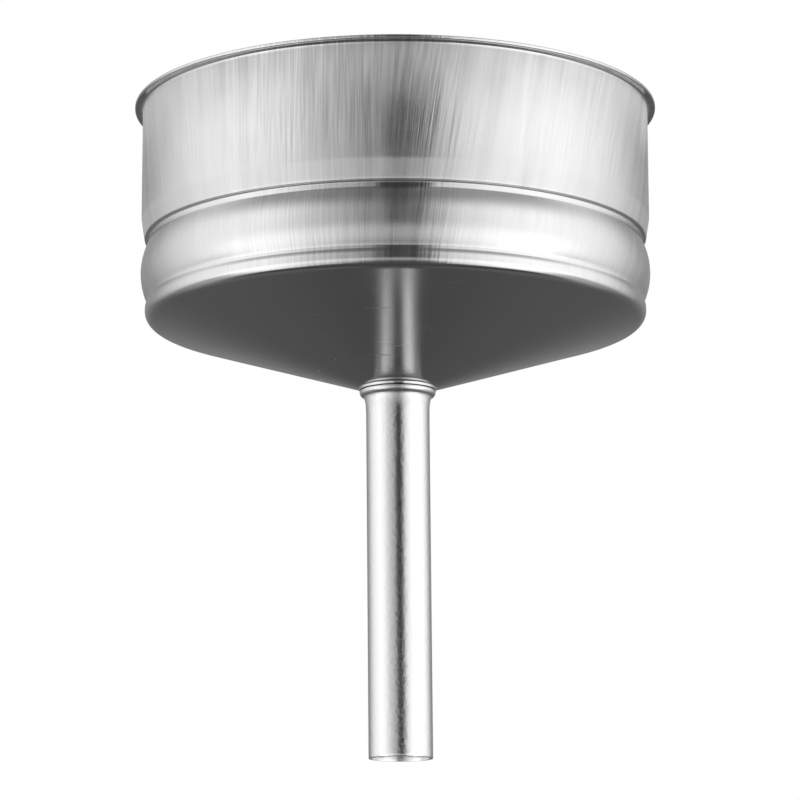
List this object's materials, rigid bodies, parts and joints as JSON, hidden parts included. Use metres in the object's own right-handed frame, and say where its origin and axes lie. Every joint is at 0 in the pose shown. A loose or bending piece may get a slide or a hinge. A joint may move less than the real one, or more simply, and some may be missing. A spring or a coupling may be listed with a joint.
{
  "type": "filter funnel",
  "caption": "Sheet-metal filter funnel: flanged cylindrical bowl with a rolled bead, trapped perforated plate, shallow cone and long straight stem tube.",
  "frame": {"origin": "centre of the rim, in the plane of the flange's top face", "axes": "+Z along the funnel's axis, up out of the bowl's mouth; the stem points along -Z"},
  "size_m": [0.0678, 0.0678, 0.0845],
  "materials": {
    "drawn_sheet_steel": "deep-drawn satin with upright drawing lines, glossier on the cone",
    "perforated_sheet_steel": "punched and pressed, satin",
    "polished_tube_steel": "bright drawn tube, near mirror"
  },
  "bodies": {
    "root": {"basket_shell": "drawn_sheet_steel", "filter_plate": "perforated_sheet_steel", "stem_tube": "polished_tube_steel"}
  },
  "joints": []
}
